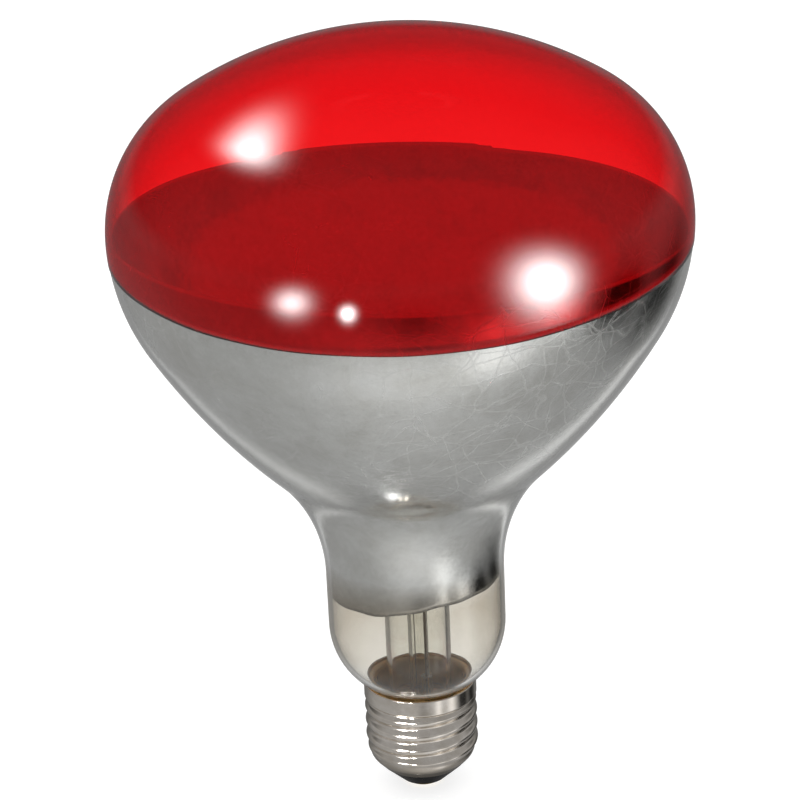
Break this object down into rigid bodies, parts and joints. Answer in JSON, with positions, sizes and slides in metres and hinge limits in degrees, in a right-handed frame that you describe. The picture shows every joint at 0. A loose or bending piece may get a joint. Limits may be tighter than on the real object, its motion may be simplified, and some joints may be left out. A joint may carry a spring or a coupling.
{
  "type": "infrared heat lamp bulb",
  "caption": "Infrared reflector heat lamp for brooding poultry and young stock: red lacquered face, silvered bowl, clear neck and medium screw base.",
  "frame": {"origin": "middle of the centre contact's flat, the lowest point of the lamp", "axes": "+Z along the lamp's axis from the centre contact to the middle of the face; -Y is the side where the lacquer's edge hangs lowest"},
  "size_m": [0.1274, 0.1274, 0.1798],
  "materials": {
    "bulb_glass": "clear blown hard glass",
    "red_lacquer": "glossy transparent red lacquer",
    "aluminised_film": "vapour-deposited aluminium",
    "stem_glass": "clear lead glass",
    "nickel_wire": "drawn nickel-plated wire",
    "copper_clad_wire": "copper-clad seal wire, oxidised",
    "tungsten": "drawn tungsten, grey",
    "molybdenum": "drawn molybdenum",
    "shield_sheet": "bright rolled sheet",
    "shield_ceramic": "unglazed steatite",
    "nickel_shell": "nickel-plated rolled shell, satin",
    "basing_cement": "baked brown basing cement",
    "black_glass": "moulded black glass insulator",
    "contact_brass": "stamped brass",
    "solder": "tin solder, dull",
    "fuse_wire": "fine fuse wire"
  },
  "bodies": {
    "root": {"glass_envelope": "bulb_glass", "face_lacquer": "red_lacquer", "reflector_coating": "aluminised_film", "screw_shell": "nickel_shell", "base_insulator": "black_glass", "contact_eyelet": "contact_brass", "contact_solder": "solder", "base_cement": "basing_cement", "shell_lead": "nickel_wire", "shell_weld": "solder", "stem_flare": "stem_glass", "stem_press": "stem_glass", "exhaust_tube": "stem_glass", "arbor_rod": "stem_glass", "arbor_button": "stem_glass", "seal_wires": "copper_clad_wire", "centre_lead": "nickel_wire", "fuse_link": "fuse_wire", "fuse_sleeve": "stem_glass", "lead_wire_left": "nickel_wire", "lead_wire_right": "nickel_wire", "filament_clamps": "nickel_wire", "filament_coil": "tungsten", "filament_supports": "molybdenum", "heat_shield": "shield_sheet", "shield_beads": "shield_ceramic"}
  },
  "joints": []
}
